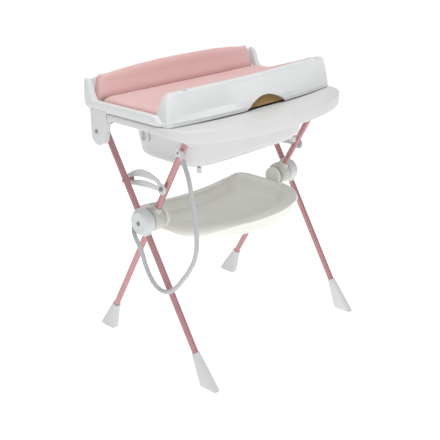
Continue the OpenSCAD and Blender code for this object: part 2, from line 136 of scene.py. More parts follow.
def moulded_surface():
    """Moulded plastic: faint cloudy colour, a fine pebbled skin and uneven gloss."""
    group, given, result = new_group(
        "moulded_surface",
        {"Color": "NodeSocketColor", "Gloss": "NodeSocketFloat", "Grain": "NodeSocketFloat"},
        {"Color": "NodeSocketColor", "Roughness": "NodeSocketFloat", "Height": "NodeSocketFloat"},
    )
    place = node(group, "ShaderNodeTexCoord").outputs["Object"]
    cloud = node(group, "ShaderNodeTexNoise", {"Vector": place, "Scale": 7.0, "Detail": 3.0})
    shade = node(group, "ShaderNodeMapRange", {"Value": cloud.outputs["Fac"], "From Min": 0.3, "From Max": 0.7,
                                               "To Min": 0.97, "To Max": 1.0})
    tinted = node(group, "ShaderNodeVectorMath", {0: given["Color"], "Scale": shade.outputs["Result"]},
                  operation="SCALE")
    grain = node(group, "ShaderNodeTexNoise", {"Vector": place, "Scale": given["Grain"], "Detail": 2.0})
    smear = node(group, "ShaderNodeTexNoise", {"Vector": place, "Scale": 23.0, "Detail": 4.0})
    spread = node(group, "ShaderNodeMapRange", {"Value": smear.outputs["Fac"], "From Min": 0.3, "From Max": 0.7,
                                                "To Min": -0.05, "To Max": 0.06})
    gloss = node(group, "ShaderNodeMath", {0: given["Gloss"], 1: spread.outputs["Result"]}, operation="ADD")
    group.links.new(tinted.outputs["Vector"], result["Color"])
    group.links.new(gloss.outputs["Value"], result["Roughness"])
    group.links.new(grain.outputs["Fac"], result["Height"])
    return group


moulded = moulded_surface()


def skinned(name, group, values, strength, depth, **shader):
    """A material with one of the surface groups as its skin; shader sets further Principled sockets."""
    material, tree, principled = new_material(name)
    skin = node(tree, "ShaderNodeGroup", values, node_tree=group)
    bump = node(tree, "ShaderNodeBump", {"Height": skin.outputs["Height"], "Strength": strength, "Distance": depth})
    tree.links.new(skin.outputs["Color"], principled.inputs["Base Color"])
    tree.links.new(skin.outputs["Roughness"], principled.inputs["Roughness"])
    tree.links.new(bump.outputs["Normal"], principled.inputs["Normal"])
    for key, value in shader.items():
        principled.inputs[key.replace("_", " ")].default_value = value
    return material


def plastic(name, color, gloss, grain=900.0, depth=0.000012, **shader):
    """A moulded plastic of one colour."""
    return skinned(name, moulded, {"Color": (*color, 1), "Gloss": gloss, "Grain": grain}, 0.15, depth, **shader)


def dress(piece, body, slot, material, *nodes):
    """Gives a finished piece its material and its body, and hides the CAD nodes it stands for; the slot argument is
    not used.
    """
    piece.data.materials.clear()
    piece.data.materials.append(material)
    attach(piece, body)
    if nodes:
        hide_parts(*nodes)


def paint(material, *nodes):
    """Gives CAD nodes that stay in view their material."""
    for name in nodes:
        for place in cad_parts[name].material_slots:
            place.material = material


hose_vinyl = plastic("hose_vinyl", (0.54, 0.555, 0.575), 0.34, 300.0, 0.00002,
                     Subsurface_Weight=0.15, Subsurface_Radius=(0.004, 0.004, 0.004))
hose_curve = bpy.data.curves.new("drain_hose", "CURVE")
hose_curve.dimensions = "3D"
hose_curve.bevel_depth = hose_diameter / 2
hose_curve.bevel_resolution = 5
hose_curve.resolution_u = 10
hose_curve.use_fill_caps = True
hose_line = hose_curve.splines.new("BEZIER")
hose_line.bezier_points.add(len(hose_route) - 1)
for knot, place in zip(hose_line.bezier_points, hose_route):
    knot.co = place
    knot.handle_left_type = "AUTO"
    knot.handle_right_type = "AUTO"
hose = bpy.data.objects.new("drain_hose", hose_curve)
bpy.context.collection.objects.link(hose)
dress(hose, "inner_frame", "hose_white", hose_vinyl, "hose")
bpy.context.view_layer.update()
nozzle_plastic = plastic("nozzle_plastic", (0.78, 0.80, 0.82), 0.42, 500.0)
paint(nozzle_plastic, "hose_nozzle", "hose_connector", "hose_eyelet", "hose_clip")

# ---- Leg tubes ----
# Round steel tube, 22 mm across, with a dusty rose metallic lacquer over it. The
# cross tube at the back is the same stock.
LEGS = ["outer_leg_left", "outer_leg_right", "inner_leg_left", "inner_leg_right", "rear_crossbar"]


def lacquer_surface():
    """Metallic lacquer: tiny flakes, soft clouds and a faint orange-peel skin."""
    group, given, result = new_group(
        "lacquer_surface",
        {"Color": "NodeSocketColor", "Flake Color": "NodeSocketColor", "Flake Scale": "NodeSocketFloat"},
        {"Color": "NodeSocketColor", "Roughness": "NodeSocketFloat", "Height": "NodeSocketFloat"},
    )
    place = node(group, "ShaderNodeTexCoord").outputs["Object"]
    flakes = node(group, "ShaderNodeTexVoronoi", {"Vector": place, "Scale": given["Flake Scale"]})
    glint = node(group, "ShaderNodeMapRange", {"Value": flakes.outputs["Distance"], "From Min": 0.05,
                                               "From Max": 0.35, "To Min": 0.45, "To Max": 0.0})
    cloud = node(group, "ShaderNodeTexNoise", {"Vector": place, "Scale": 14.0, "Detail": 3.0})
    shade = node(group, "ShaderNodeMapRange", {"Value": cloud.outputs["Fac"], "From Min": 0.3, "From Max": 0.7,
                                               "To Min": 0.93, "To Max": 1.04})
    base = node(group, "ShaderNodeVectorMath", {0: given["Color"], "Scale": shade.outputs["Result"]},
                operation="SCALE")
    mixed = node(group, "ShaderNodeMix", {"Factor": glint.outputs["Result"], "A": base.outputs["Vector"],
                                          "B": given["Flake Color"]}, data_type="RGBA")
    rough = node(group, "ShaderNodeMapRange", {"Value": cloud.outputs["Fac"], "To Min": 0.27, "To Max": 0.40})
    peel = node(group, "ShaderNodeTexNoise", {"Vector": place, "Scale": 420.0, "Detail": 1.0})
    group.links.new(mixed.outputs["Result"], result["Color"])
    group.links.new(rough.outputs["Result"], result["Roughness"])
    group.links.new(peel.outputs["Fac"], result["Height"])
    return group


rose_lacquer = skinned(
    "rose_lacquer", lacquer_surface(),
    {"Color": (0.52, 0.262, 0.272, 1), "Flake Color": (0.76, 0.52, 0.51, 1), "Flake Scale": 1500.0},
    0.35, 0.00005, Metallic=0.45, Coat_Weight=0.35, Coat_Roughness=0.18)
paint(rose_lacquer, *LEGS)

# ---- Feet ----
# White moulded sleeves pushed on the tube ends. Each is a round collar at the top
# and flares along the leg's lean to a long flat sole.
hub_height = 0.5
hub_back = 0.017
collar_radius = 0.0142
foot_top = 0.106
FEET = {
    "front_foot_left": (-0.373, -0.283, "outer_frame"),
    "front_foot_right": (0.373, -0.283, "outer_frame"),
    "rear_foot_left": (-0.327, 0.283, "inner_frame"),
    "rear_foot_right": (0.327, 0.283, "inner_frame"),
}
LEAN = {"outer_frame": math.radians(-30.9), "inner_frame": math.radians(28.8)}
foot_plastic = plastic("foot_plastic", (0.69, 0.705, 0.715), 0.42, 700.0)


def deselect():
    bpy.ops.object.select_all(action="DESELECT")


def pick(piece):
    """Makes a piece the only selected and active one."""
    deselect()
    piece.select_set(True)
    bpy.context.view_layer.objects.active = piece


def lay_ring(piece, points):
    """Puts the selected ring of vertices on a list of points, in ring order."""
    shape = bmesh.from_edit_mesh(piece.data)
    shape.verts.index_update()
    for vertex, place in zip([v for v in shape.verts if v.select], points):
        vertex.co = place
    bmesh.update_edit_mesh(piece.data)


def loft(name, rings, close_start=True, close_end=True):
    """A circle laid on the first ring, then extruded and laid on each ring in turn."""
    deselect()
    bpy.ops.mesh.primitive_circle_add(vertices=len(rings[0]), radius=1)
    piece = bpy.context.object
    piece.name = name
    bpy.ops.object.mode_set(mode="EDIT")
    bpy.ops.mesh.select_all(action="SELECT")
    lay_ring(piece, rings[0])
    for ring in rings[1:]:
        bpy.ops.mesh.extrude_edges_move()
        lay_ring(piece, ring)
    if close_end:
        bpy.ops.mesh.edge_face_add()
    if close_start:
        shape = bmesh.from_edit_mesh(piece.data)
        shape.faces.new(list(shape.verts)[:len(rings[0])])
        bmesh.update_edit_mesh(piece.data)
    bpy.ops.mesh.select_all(action="SELECT")
    bpy.ops.mesh.remove_doubles(threshold=0.00001)
    bpy.ops.mesh.normals_make_consistent(inside=False)
    bpy.ops.object.mode_set(mode="OBJECT")
    return piece


def apply_modifiers(piece):
    pick(piece)
    for modifier in list(piece.modifiers):
        bpy.ops.object.modifier_apply(modifier=modifier.name)


def smooth(piece, angle):
    """Smooth shading, with a crease where faces meet more sharply than the angle."""
    pick(piece)
    bpy.ops.object.shade_smooth_by_angle(angle=math.radians(angle))


def soft_rectangle(t, half_x, half_y, square):
    """Point on a rounded rectangle at parameter t; a larger square makes tighter corners."""
    c, s = math.cos(t), math.sin(t)
    return (math.copysign(abs(c) ** (2 / square), c) * half_x, math.copysign(abs(s) ** (2 / square), s) * half_y)


def rectangle_ring(middle, half_x, half_y, square, count):
    """A level ring of points on a rounded rectangle about a middle point."""
    ring = []
    for k in range(count):
        across, deep = soft_rectangle(2 * math.pi * k / count, half_x, half_y, square)
        ring.append(Vector((middle[0] + across, middle[1] + deep, middle[2])))
    return ring


def foot_ring(x, sole_y, lean, rise):
    """One section of a foot: rise runs from 0 at the sole to 1 at the collar."""
    collar_y = hub_back + (hub_height - foot_top) * math.tan(lean)
    flare = (1 - rise) ** 1.15
    half_x = collar_radius + (0.0150 - collar_radius) * flare
    half_y = collar_radius + (0.0380 - collar_radius) * flare
    tilt = lean * rise
    middle = Vector((x, sole_y + (collar_y - sole_y) * rise, foot_top * rise))
    square = 2 + 2.2 * flare
    ring = []
    for k in range(40):
        across, along = soft_rectangle(2 * math.pi * k / 40, half_x, half_y, square)
        ring.append(middle + Vector((across, along * math.cos(tilt), along * math.sin(tilt))))
    return ring


for foot_name, (foot_x, foot_y, foot_body) in FEET.items():
    sole = foot_ring(foot_x, foot_y, LEAN[foot_body], 0)
    middle = Vector((foot_x, foot_y, 0))
    tread = [point.lerp(middle, 0.06) for point in sole]
    edge = [point + Vector((0, 0, 0.0018)) for point in sole]
    sections = [foot_ring(foot_x, foot_y, LEAN[foot_body], r / 12) for r in range(1, 13)]
    mouth = [point.lerp(sum(sections[-1], Vector()) / len(sole), 0.12) for point in sections[-1]]
    foot = loft("flared_" + foot_name, [tread, edge, *sections, mouth])
    smooth(foot, 50)
    dress(foot, foot_body, "fitting_white", foot_plastic, foot_name)

# ---- Hubs ----
# Two moulded halves on each side, one clamped on each tube. They turn on a bolt
# and the tubes leave them through short blended collars.
hub_plastic = plastic("hub_plastic", (0.74, 0.765, 0.765), 0.38, 600.0)
warm_plastic = plastic("warm_plastic", (0.66, 0.66, 0.62), 0.38, 600.0)
HUBS = {
    "outer_hub": {"body": "outer_frame", "tube_x": 0.373, "lean": 30.9, "faces": (0.3515, 0.3935), "radius": 0.0425,
                  "collar": (0.048, 0.0122)},
    "inner_hub": {"body": "inner_frame", "tube_x": 0.327, "lean": -28.8, "faces": (0.3490, 0.3030), "radius": 0.0405,
                  "collar": (0.055, 0.0150)},
}


def add_cylinder(name, radius, depth, place, rotation, vertices=64, top=None):
    """A round bar, or a tapered one where top gives its other radius."""
    deselect()
    bpy.ops.mesh.primitive_cone_add(vertices=vertices, radius1=radius, radius2=radius if top is None else top,
                                    depth=depth, location=place, rotation=rotation)
    piece = bpy.context.object
    piece.name = name
    bpy.ops.object.transform_apply(location=True, rotation=True, scale=True)
    return piece


def add_box(name, size, place, rotation=(0, 0, 0)):
    deselect()
    bpy.ops.mesh.primitive_cube_add(size=1, location=place, rotation=rotation)
    piece = bpy.context.object
    piece.name = name
    piece.scale = size
    bpy.ops.object.transform_apply(location=True, rotation=True, scale=True)
    return piece


def round_edges(piece, width, segments):
    bevel = piece.modifiers.new("round_edges", "BEVEL")
    bevel.width = width
    bevel.segments = segments
    bevel.limit_method = "ANGLE"
    bevel.angle_limit = math.radians(30)
    apply_modifiers(piece)


def cut(piece, tool, operation="DIFFERENCE"):
    """A boolean with a tool that is thrown away afterwards."""
    boolean = piece.modifiers.new("cut", "BOOLEAN")
    boolean.operation = operation
    boolean.solver = "EXACT"
    boolean.object = tool
    apply_modifiers(piece)
    bpy.data.objects.remove(tool)


def blend_together(piece, voxel, rounds):
    """Melts joined solids into one moulding with soft inside corners."""
    remesh = piece.modifiers.new("melt", "REMESH")
    remesh.mode = "VOXEL"
    remesh.voxel_size = voxel
    relax = piece.modifiers.new("relax", "SMOOTH")
    relax.iterations = rounds
    apply_modifiers(piece)


def hub_half(kind, side):
    """A rounded drum with a tapered collar each way along its tube."""
    facts = HUBS[kind]
    inner, outer = facts["faces"]
    reach, tip = facts["collar"]
    lean = math.radians(-facts["lean"])
    drum = add_cylinder(kind, facts["radius"], abs(outer - inner),
                        (side * (inner + outer) / 2, hub_back, hub_height), (0, math.pi / 2, 0))
    round_edges(drum, 0.010, 5)
    for way in (0, math.pi):
        direction = Matrix.Rotation(lean + way, 3, "X") @ Vector((0, 0, 1))
        place = Vector((side * facts["tube_x"], hub_back, hub_height)) + direction * (reach + 0.005) / 2
        collar = add_cylinder("collar", 0.0205, reach - 0.005, place, (lean + way, 0, 0), 48, tip)
        cut(drum, collar, "UNION")
    blend_together(drum, 0.0016, 7)
    smooth(drum, 60)
    return drum


for side, side_name in ((-1, "left"), (1, "right")):
    for kind in HUBS:
        half = hub_half(kind, side)
        half.name = f"{kind}_{side_name}_moulding"
        if kind == "inner_hub" and side < 0:
            low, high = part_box("hose_clip")
            clip_arm = add_box("clip_arm", (0.014, 0.030, 0.012), (-0.323, low[1] - 0.012, (low[2] + high[2]) / 2))
            cut(half, clip_arm, "UNION")
        dress(half, HUBS[kind]["body"], "fitting_white", hub_plastic if kind == "outer_hub" else warm_plastic,
              f"{kind}_{side_name}")

# ---- Screws ----
# Zinc-plated pan-head screws with a cross slot: one on each hub, hinge arm, latch
# pivot and hose eyelet. One is modelled and the rest are copies of it.
zinc, zinc_tree, zinc_shader = new_material("zinc_plate")
zinc_place = node(zinc_tree, "ShaderNodeTexCoord").outputs["Object"]
zinc_cloud = node(zinc_tree, "ShaderNodeTexNoise", {"Vector": zinc_place, "Scale": 260.0, "Detail": 3.0})
zinc_tone = node(zinc_tree, "ShaderNodeValToRGB", {"Fac": zinc_cloud.outputs["Fac"]})
zinc_tone.color_ramp.elements[0].color = (0.16, 0.165, 0.18, 1)
zinc_tone.color_ramp.elements[1].color = (0.42, 0.43, 0.45, 1)
zinc_gloss = node(zinc_tree, "ShaderNodeMapRange", {"Value": zinc_cloud.outputs["Fac"], "To Min": 0.25, "To Max": 0.5})
zinc_tree.links.new(zinc_tone.outputs["Color"], zinc_shader.inputs["Base Color"])
zinc_tree.links.new(zinc_gloss.outputs["Result"], zinc_shader.inputs["Roughness"])
zinc_shader.inputs["Metallic"].default_value = 1.0
paint(zinc, *[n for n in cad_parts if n.startswith(("hub_bolt", "hinge_screw", "latch_pivot"))])
paint(rose_lacquer, "latch_pin_left", "latch_pin_right")

screw_radius = 0.0045
first_screw = add_cylinder("screw_head", screw_radius, 0.003, (0, 0, 0), (0, 0, 0), 32, screw_radius * 0.8)
round_edges(first_screw, 0.0006, 2)
for turn in (0, math.pi / 2):
    cut(first_screw, add_box("slot_tool", (screw_radius * 1.2, 0.0011, 0.0024), (0, 0, 0.0016), (0, 0, turn)))
SCREWS = [
    ("hub", 0.3940, (0.017, 0.500), "outer_frame", (-1, 1), 1.25),
    ("hinge", 0.4130, (0.183, 0.782), "outer_frame", (-1, 1), 1.0),
    ("latch", 0.3545, (-0.052, 0.625), "inner_frame", (-1, 1), 1.0),
    ("eyelet", 0.3450, (-0.124, 0.758), "inner_frame", (-1,), 1.0),
]
for label, reach, (y, z), body, sides, size in SCREWS:
    for side in sides:
        screw = first_screw.copy()
        screw.data = first_screw.data.copy()
        bpy.context.collection.objects.link(screw)
        screw.name = f"{label}_screw_{'left' if side < 0 else 'right'}"
        face_out = Matrix.Rotation(side * math.pi / 2, 4, "Y") @ Matrix.Rotation(0.6, 4, "Z")
        screw.data.transform(Matrix.Translation((side * reach, y, z)) @ face_out @ Matrix.Scale(size, 4))
        smooth(screw, 30)
        dress(screw, body, "hardware_steel", zinc)
bpy.data.objects.remove(first_screw)

# ---- Latch plates ----
# Slotted plates of natural nylon, 4 mm thick. Each turns on the inner leg and its
# slot slides on the outer leg's pin, so it locks the legs when they are open.
nylon = plastic("natural_nylon", (0.80, 0.82, 0.83), 0.36, 800.0,
                Subsurface_Weight=0.35, Subsurface_Radius=(0.003, 0.003, 0.003), Transmission_Weight=0.12)


def softened_copy(node_name, name, width, segments):
    """A CAD part's own shape with its sharp edges rounded over."""
    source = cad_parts[node_name]
    piece = source.copy()
    piece.data = source.data.copy()
    bpy.context.collection.objects.link(piece)
    piece.name = name
    piece.parent = None
    piece.matrix_world = Matrix.Identity(4)
    pick(piece)
    bpy.ops.object.mode_set(mode="EDIT")
    bpy.ops.mesh.select_all(action="SELECT")
    bpy.ops.mesh.remove_doubles(threshold=0.00002)
    bpy.ops.mesh.dissolve_limited(angle_limit=math.radians(1))
    bpy.ops.object.mode_set(mode="OBJECT")
    round_edges(piece, width, segments)
    smooth(piece, 35)
    return piece


for side_name in ("left", "right"):
    latch = softened_copy(f"latch_{side_name}", f"latch_plate_{side_name}", 0.0010, 2)
    dress(latch, f"latch_{side_name}", "latch_nylon", nylon, f"latch_{side_name}")

# ---- Hinge arms ----
# Capsule-shaped arms that hang the changing top on the outer legs. Each is one
# moulding with well-rounded edges and a screw through it.
arm_plastic = plastic("arm_plastic", (0.74, 0.755, 0.765), 0.36, 700.0)
for side_name in ("left", "right"):
    arm = softened_copy(f"hinge_arm_{side_name}", f"hinge_capsule_{side_name}", 0.0055, 4)
    dress(arm, "changing_top", "fitting_white", arm_plastic, f"hinge_arm_{side_name}")

# ---- Bath ----
# One satin moulding: a bowed deck with a turned-down skirt and a deep bowl. The
# rim steps in at the back for the hinge arms, and the drain goes through the floor.
bath_plastic = plastic("bath_plastic", (0.75, 0.755, 0.75), 0.38, 500.0, 0.00001)
rim_low, rim_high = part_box("bath_tub")
rim_half = rim_high[0]
rim_top = rim_high[2]
bath_floor = rim_low[2]
rim_back = rim_high[1]
bow_start = -0.138
bow_depth = 0.160
notch_front = 0.124
notch_half = 0.383
rear_corner = 0.018
bowl_middle = 0.007
bowl_half = (0.310, 0.156)
bath_wall = 0.0035


def along(start, end, count):
    """Evenly spaced points from start up to, but not including, end."""
    return [(start[0] + (end[0] - start[0]) * k / count, start[1] + (end[1] - start[1]) * k / count)
            for k in range(count)]


def arc_points(middle, radii, start, step, count):
    """Points on an ellipse's arc, from a start angle in degrees and in even steps."""
    turns = [math.radians(start + step * k) for k in range(count)]
    return [(middle[0] + radii[0] * math.cos(turn), middle[1] + radii[1] * math.sin(turn)) for turn in turns]


def rim_outline(inset=0.0):
    """The deck's outline from the front left corner round the bow and back."""
    a = rim_half - inset
    n = notch_half - inset
    back = rim_back - inset
    front = arc_points((0, bow_start), (a, bow_depth - inset), 180, 2.5, 72)
    corner = arc_points((n - rear_corner, back - rear_corner), (rear_corner, rear_corner), 0, 15, 7)
    right = (along((a, bow_start), (a, notch_front - 0.004), 10)
             + [(a - 0.001, notch_front - 0.001), (a - 0.004, notch_front)]
             + along((n + 0.004, notch_front), (n, notch_front + 0.004), 2)
             + along((n, notch_front + 0.004), (n, back - rear_corner), 4) + corner)
    rear = along((n - rear_corner, back), (0, back), 14)[1:]
    left = [(-x, y) for x, y in reversed(right + rear)]
    return front + right + rear + [(0, back)] + left


def bowl_outline(like, scale):
    """Points of the bowl's rounded rectangle that face the same way as those of `like`."""
    points = []
    for x, y in like:
        angle = math.atan2((y - bowl_middle) / bowl_half[1] * bowl_half[0], x)
        c, s = math.cos(angle), math.sin(angle)
        reach = (abs(c) ** 5 + abs(s) ** 5) ** (-1 / 5)
        px, py = bowl_half[0] * scale * reach * c, bowl_half[1] * scale * reach * s
        dent = 0.004 * math.exp(-((py + 0.055) / 0.012) ** 2) * (1 if abs(px) > 0.25 else 0)
        points.append((px - math.copysign(dent, px), py + bowl_middle))
    return points


def mix_outlines(first, second, share):
    return [(a[0] + (b[0] - a[0]) * share, a[1] + (b[1] - a[1]) * share) for a, b in zip(first, second)]


def at_height(outline, height):
    """Lifts a plan outline; height is a number or a function of x and y."""
    return [Vector((x, y, height(x, y) if callable(height) else height)) for x, y in outline]


def smooth_step(low, high, value):
    share = min(1.0, max(0.0, (value - low) / (high - low)))
    return share * share * (3 - 2 * share)


def skirt_bottom(x, y):
    """The skirt is deep along the bow and shallow along the ends and back."""
    return 0.806 + 0.022 * smooth_step(-0.235, -0.13, y)


outer_rim = rim_outline()
bath_rings = [
    at_height(rim_outline(0.0035), lambda x, y: skirt_bottom(x, y) + 0.0005),
    at_height(rim_outline(0.0012), skirt_bottom),
    at_height(rim_outline(0.0002), lambda x, y: skirt_bottom(x, y) + 0.002),
    at_height(outer_rim, lambda x, y: (skirt_bottom(x, y) + rim_top) / 2 - 0.004),
]
edge_round = 0.009
for k in range(7):
    turn = math.radians(15 * k)
    bath_rings.append(at_height(rim_outline(edge_round * (1 - math.cos(turn))),
                                rim_top - edge_round + edge_round * math.sin(turn)))
deck_inner = rim_outline(0.034)
lip = bowl_outline(outer_rim, 1.035)
bath_rings += [at_height(rim_outline(0.020), rim_top), at_height(deck_inner, rim_top - 0.001)]
for share in (0.35, 0.7):
    bath_rings.append(at_height(mix_outlines(deck_inner, lip, share), rim_top - 0.001 - 0.002 * share))
bath_rings.append(at_height(lip, rim_top - 0.004))
lip_round = 0.008
for k in range(1, 6):
    turn = math.radians(18 * k)
    bath_rings.append(at_height(bowl_outline(outer_rim, 1.035 - 0.030 * math.sin(turn)),
                                rim_top - 0.004 - lip_round * (1 - math.cos(turn))))
floor_round = 0.030
bowl_wall_top = rim_top - 0.004 - lip_round
bowl_wall_bottom = bath_floor + bath_wall + floor_round
for share in (k / 8 for k in range(1, 9)):
    bath_rings.append(at_height(bowl_outline(outer_rim, 1.005 - 0.065 * share),
                                bowl_wall_top + (bowl_wall_bottom - bowl_wall_top) * share))
for k in range(1, 7):
    turn = math.radians(15 * k)
    bath_rings.append(at_height(bowl_outline(outer_rim, 0.940 - 0.11 * (1 - math.cos(turn))),
                                bowl_wall_bottom - floor_round * math.sin(turn)))
for scale in (0.6, 0.35, 0.12):
    bath_rings.append(at_height(bowl_outline(outer_rim, scale), bath_floor + bath_wall))
bath = loft("bath", bath_rings, close_start=False)
thicken = bath.modifiers.new("wall", "SOLIDIFY")
thicken.thickness = bath_wall
thicken.offset = -1
apply_modifiers(bath)
drain_low, drain_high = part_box("drain_fitting")
drain_middle = ((drain_low[0] + drain_high[0]) / 2, (drain_low[1] + drain_high[1]) / 2)
cut(bath, add_cylinder("drain_cutter", 0.0158, 0.04, (*drain_middle, bath_floor), (0, 0, 0), 48))
smooth(bath, 40)
dress(bath, "outer_frame", "bath_white", bath_plastic, "bath_tub")
paint(bath_plastic, "tub_feet", "hose_hook")
paint(hub_plastic, "tub_socket_left", "tub_socket_right", "front_rest_left", "front_rest_right", "drain_fitting",
      "drain_plug", "leg_cap_left", "leg_cap_right")

# ---- Rubber parts ----
# The drain's gasket and the buffers under the changing top are soft grey rubber.
rubber = plastic("grey_rubber", (0.10, 0.10, 0.11), 0.75, 1200.0, 0.0002)
paint(rubber, "drain_gasket", "rest_buffers")

# ---- Storage tray ----
# A pearly bowl that hangs on the hub bolts by the round ears at its ends. Its rim is
# rolled outwards and down, deepest at the ends, and its back edge is waisted.
pearl_plastic = plastic("pearl_plastic", (0.92, 0.915, 0.865), 0.36, 350.0, 0.00001)
tray_low, tray_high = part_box("storage_tray")
tray_half = 0.2945
tray_rim = 0.4875
tray_floor = tray_low[2] + 0.020
tray_rear = 0.187
tray_waist = 0.143
tray_bow_start = -0.033
tray_bow = 0.190


def tray_outline(inset=0.0):
    """Bowed front, straight ends, round rear corners and a waisted back edge."""
    a = tray_half - inset
    corner = 0.045
    front = arc_points((0, tray_bow_start), (a, tray_bow - inset), 180, 2.5, 72)
    side = along((a, tray_bow_start), (a, tray_rear - corner - inset), 16)
    turn = arc_points((a - corner, tray_rear - corner - inset), (corner, corner), 0, 10, 9)
    rear = []
    for k in range(1, 12):
        share = 1 - k / 12
        rear.append(((a - corner) * share, tray_waist - inset + (tray_rear - tray_waist) * share * share))
    left = [(-x, y) for x, y in reversed(side + turn + rear)]
    return front + side + turn + rear + [(0, tray_waist - inset)] + left


def shrink(outline, scale):
    return [(x * scale, y * scale) for x, y in outline]


def roll_depth(x, y):
    """How far the rim's outer edge is turned down: little at the front, most at the ends."""
    return 0.007 + 0.027 * smooth_step(0.13, 0.285, abs(x))


def floor_swell(x, y):
    """Two low raised fields and a soap well moulded in the tray's floor."""
    left_field = math.exp(-((x + 0.11) / 0.055) ** 4 - ((y - 0.02) / 0.045) ** 4)
    right_field = math.exp(-((x - 0.13) / 0.050) ** 4 - ((y - 0.03) / 0.040) ** 4)
    well = math.exp(-((x - 0.01) / 0.030) ** 4 - ((y + 0.10) / 0.025) ** 4)
    return 0.007 * (left_field + right_field) - 0.002 * well


tray_under = tray_low[2]
full_outline = tray_outline()
tray_rings = [at_height(shrink(full_outline, scale), tray_under) for scale in (0.10, 0.30, 0.50, 0.68, 0.78)]
for scale, rise in ((0.84, 0.0015), (0.88, 0.005), (0.91, 0.010), (0.925, 0.016)):
    tray_rings.append(at_height(shrink(full_outline, scale), tray_under + rise))
tray_rings.append(at_height(tray_outline(0.0130), lambda x, y: tray_rim - roll_depth(x, y) * 0.98 + 0.002))
for inset, turned in ((0.0060, 1.0), (0.0030, 1.03), (0.0008, 1.0), (0.0, 0.92), (0.0004, 0.76), (0.0020, 0.58),
                      (0.0045, 0.42), (0.0085, 0.27), (0.0140, 0.15), (0.0210, 0.06), (0.0290, 0.01), (0.0370, 0.0)):
    tray_rings.append(at_height(tray_outline(inset), lambda x, y, turned=turned: tray_rim - turned * roll_depth(x, y)))
dish_start = 1 - 0.044 / tray_half
for k in range(1, 15):
    share = k / 14
    tray_rings.append(at_height(shrink(full_outline, dish_start - 0.20 * share),
                                tray_rim - (tray_rim - tray_floor) * smooth_step(0, 1, share) ** 1.15))
for scale in (0.60, 0.55, 0.50, 0.45, 0.40, 0.34, 0.28, 0.22, 0.16, 0.10, 0.05):
    tray_rings.append(at_height(shrink(full_outline, scale), lambda x, y: tray_floor + floor_swell(x, y)))
tray = loft("storage_bowl", tray_rings)
for side in (-1, 1):
    ear = add_cylinder("ear", 0.034, 0.0145, (side * 0.28875, hub_back, hub_height - 0.004), (0, math.pi / 2, 0), 72)
    round_edges(ear, 0.0035, 4)
    cut(tray, ear, "UNION")
smooth(tray, 40)
dress(tray, "storage_tray", "tray_pearl", pearl_plastic, "storage_tray")

# ---- Changing top: base ----
# A stiff white moulding with a low rounded lip. The pads lie in it, and it is
# ribbed underneath between the two hinge arms.
top_plastic = plastic("top_plastic", (0.80, 0.815, 0.82), 0.38, 600.0, 0.00001)
top_low, top_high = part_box("changer_tray")
top_half = top_high[0]
top_under = top_low[2]
top_rear = top_high[1]
top_front = top_low[1]
lip_top = top_under + 0.025
pad_seat = top_under + 0.007
bow_rise = 0.025
bow_half = 0.36
corner_x = top_half - bow_half
corner_y = 0.048
hand_x, hand_z, hand_radius = 0.022, 0.730, 0.155


def front_edge(x):
    """y of the base's bowed front edge at x, with its rounded corners."""
    if abs(x) <= bow_half:
        return top_front + bow_rise * (x / bow_half) ** 2
    share = min(1.0, (abs(x) - bow_half) / corner_x)
    return top_front + bow_rise + corner_y * (1 - math.sqrt(1 - share * share))


def top_plan(inset=0.0):
    """The base's outline: bowed front, straight ends and small rear corners."""
    scale = (top_half - inset) / top_half
    xs = [-top_half * math.cos(math.radians(2 * k)) for k in range(91)]
    front = [(x * scale, front_edge(x) + inset) for x in xs]
    a = top_half - inset
    corner = 0.020
    side = along((a, front[-1][1] + 0.008), (a, top_rear - corner), 14)
    turn = arc_points((a - corner, top_rear - inset - corner), (corner, corner), 0, 15, 7)
    rear = along((a - corner, top_rear - inset), (0, top_rear - inset), 12)[1:]
    left = [(-x, y) for x, y in reversed(side + turn + rear)]
    return front + side + turn + rear + [(0, top_rear - inset)] + left


base_rings = [at_height(shrink(top_plan(0.014), scale), top_under + 0.0005)
              for scale in (0.05, 0.15, 0.25, 0.35, 0.45, 0.55, 0.65, 0.75, 0.85, 0.93)]
for inset, height in ((0.014, top_under + 0.0005), (0.010, top_under + 0.0003), (0.009, top_under - 0.0058),
                      (0.007, top_under - 0.0063), (0.0045, top_under - 0.0058), (0.001, top_under + 0.0010),
                      (0.0, top_under + 0.004), (0.0, lip_top - 0.007), (0.0008, lip_top - 0.004),
                      (0.0028, lip_top - 0.0015), (0.007, lip_top), (0.019, lip_top), (0.0225, lip_top - 0.0015),
                      (0.0245, lip_top - 0.005), (0.026, pad_seat + 0.002), (0.029, pad_seat)):
    base_rings.append(at_height(top_plan(inset), lambda x, y, height=height: min(
        height, pad_seat + (lip_top - pad_seat) * smooth_step(-0.118, -0.085, y))))
base_rings += [at_height(shrink(top_plan(0.029), scale), pad_seat) for scale in (0.85, 0.65, 0.45, 0.25, 0.08)]
base = loft("changing_top_base", base_rings)
cut(base, add_cylinder("arch_cutter", hand_radius - 0.0005, 0.070, (hand_x, -0.150, hand_z), (math.pi / 2, 0, 0), 180))
smooth(base, 40)
dress(base, "changing_top", "top_white", top_plastic, "changer_tray")

rib_depth = 0.005
rib_width = 0.0048
rib_z = top_under - rib_depth / 2 + 0.0007
RIBS = [((rib_width, 0.30, rib_depth), (x, 0.06, rib_z)) for x in (-0.30, -0.18, -0.06, 0.06, 0.18, 0.30)]
RIBS += [((0.62, rib_width, rib_depth), (0, y, rib_z)) for y in (-0.06, 0.06, 0.16)]
for number, (size, place) in enumerate(RIBS):
    rib = add_box(f"under_rib_{number}", size, place)
    round_edges(rib, 0.0008, 2)
    dress(rib, "changing_top", "top_white", top_plastic)

